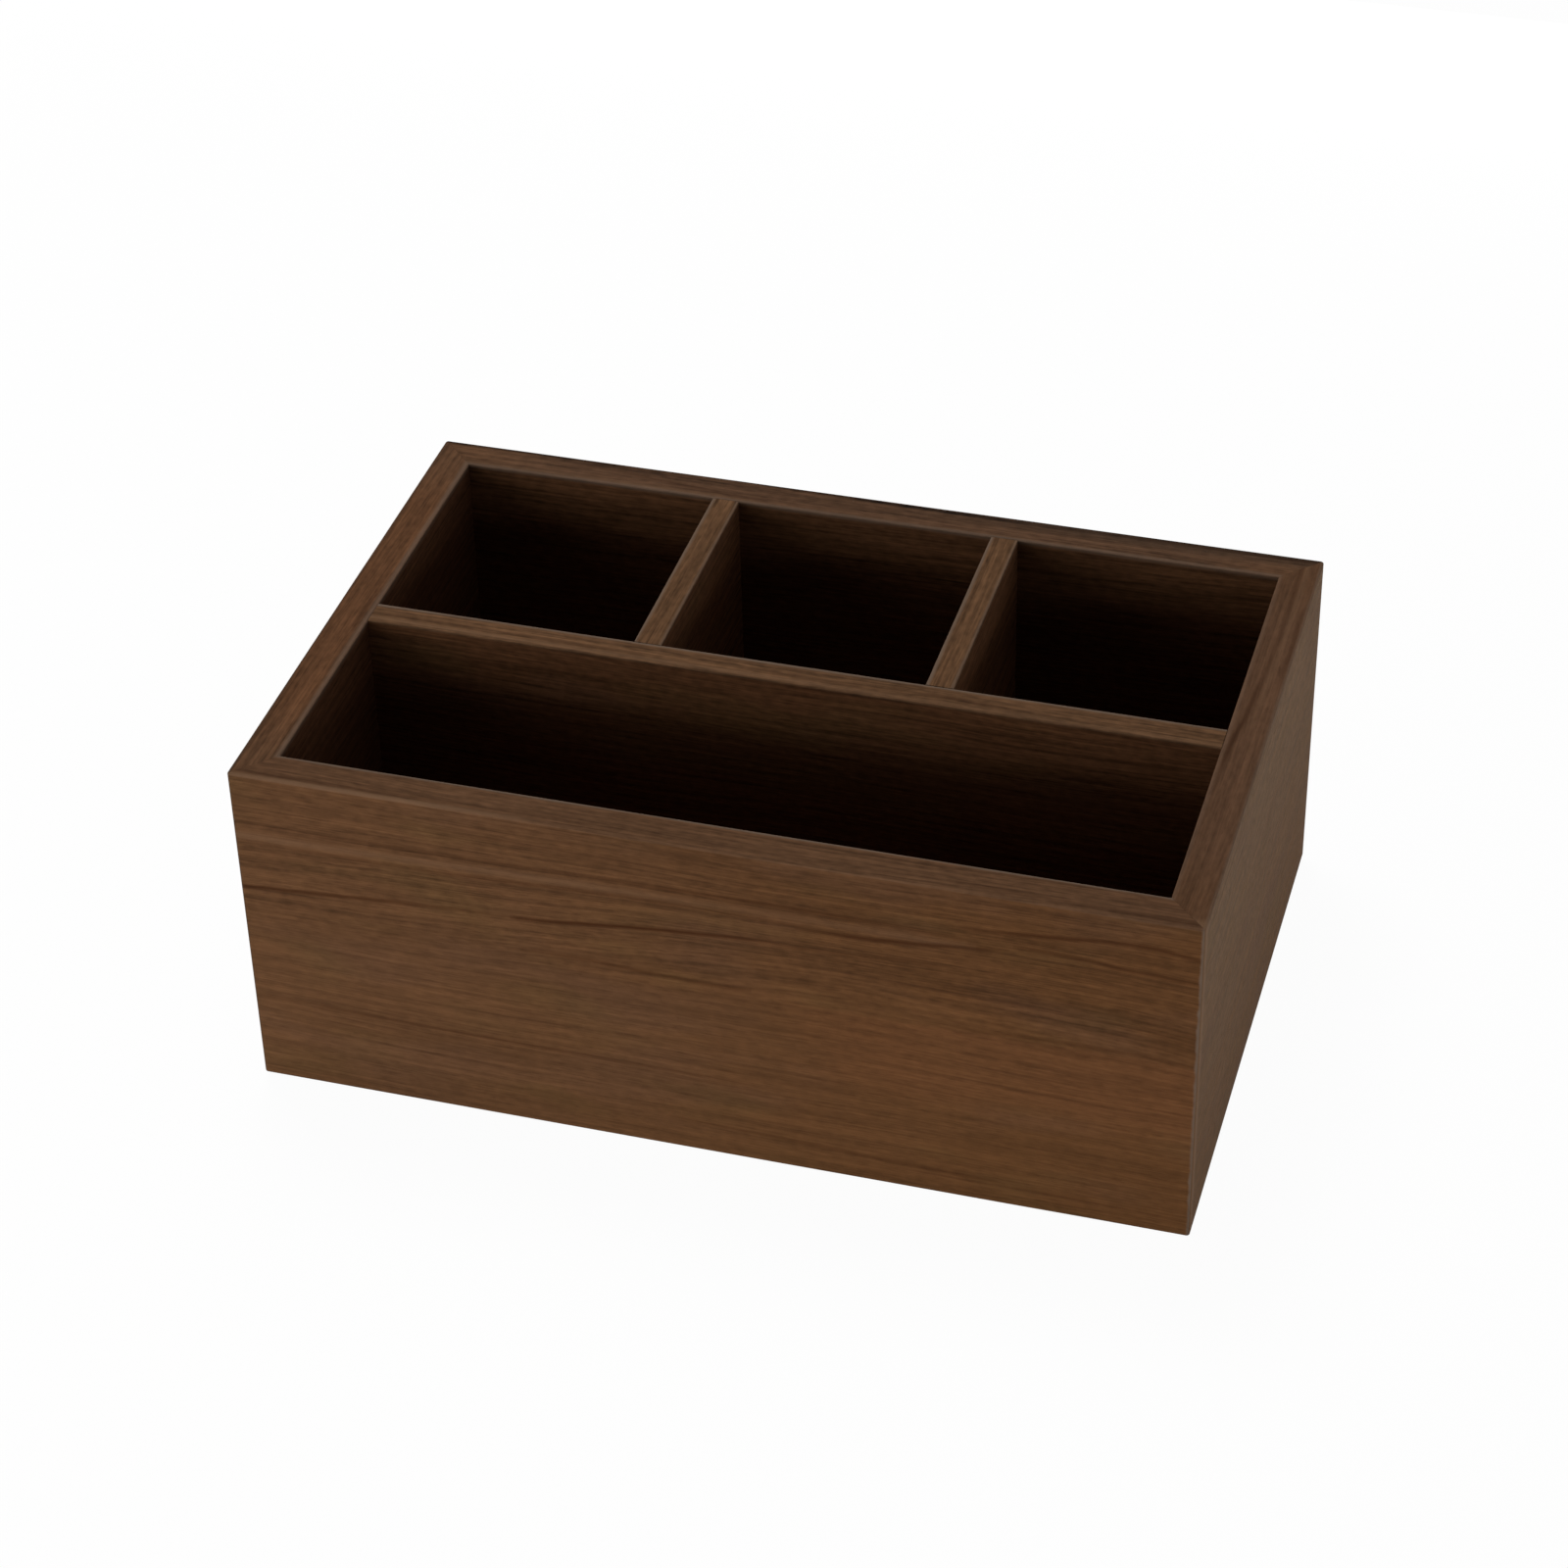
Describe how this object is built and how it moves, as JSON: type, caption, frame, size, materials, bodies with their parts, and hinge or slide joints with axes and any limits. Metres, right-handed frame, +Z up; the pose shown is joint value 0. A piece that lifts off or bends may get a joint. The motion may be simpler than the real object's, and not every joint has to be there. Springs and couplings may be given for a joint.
{
  "type": "multi-compartment organizer",
  "caption": "Open-top wooden organizer box with a long front compartment and a row of equal square compartments behind it, with mitred walls and flush dividers.",
  "frame": {"origin": "middle of the box, level with the undersides of the four felt pads", "axes": "+X along the box's length to the right as seen from the front, +Y from the long compartment to the row behind it, +Z up out of the compartments"},
  "size_m": [0.3, 0.195, 0.1208],
  "materials": {
    "walnut": "oiled walnut, satin",
    "veneered_panel": "walnut-veneered plywood, matt",
    "birch_spline": "raw birch plywood",
    "felt": "pressed wool felt, dark"
  },
  "bodies": {
    "root": {"front_wall": "walnut", "back_wall": "walnut", "left_wall": "walnut", "right_wall": "walnut", "long_divider": "walnut", "cross_divider_1": "walnut", "cross_divider_2": "walnut", "bottom_panel": "veneered_panel", "corner_spline_front_left": "birch_spline", "corner_spline_front_right": "birch_spline", "corner_spline_back_left": "birch_spline", "corner_spline_back_right": "birch_spline", "foot_pad_front_left": "felt", "foot_pad_front_right": "felt", "foot_pad_back_left": "felt", "foot_pad_back_right": "felt"}
  },
  "joints": []
}
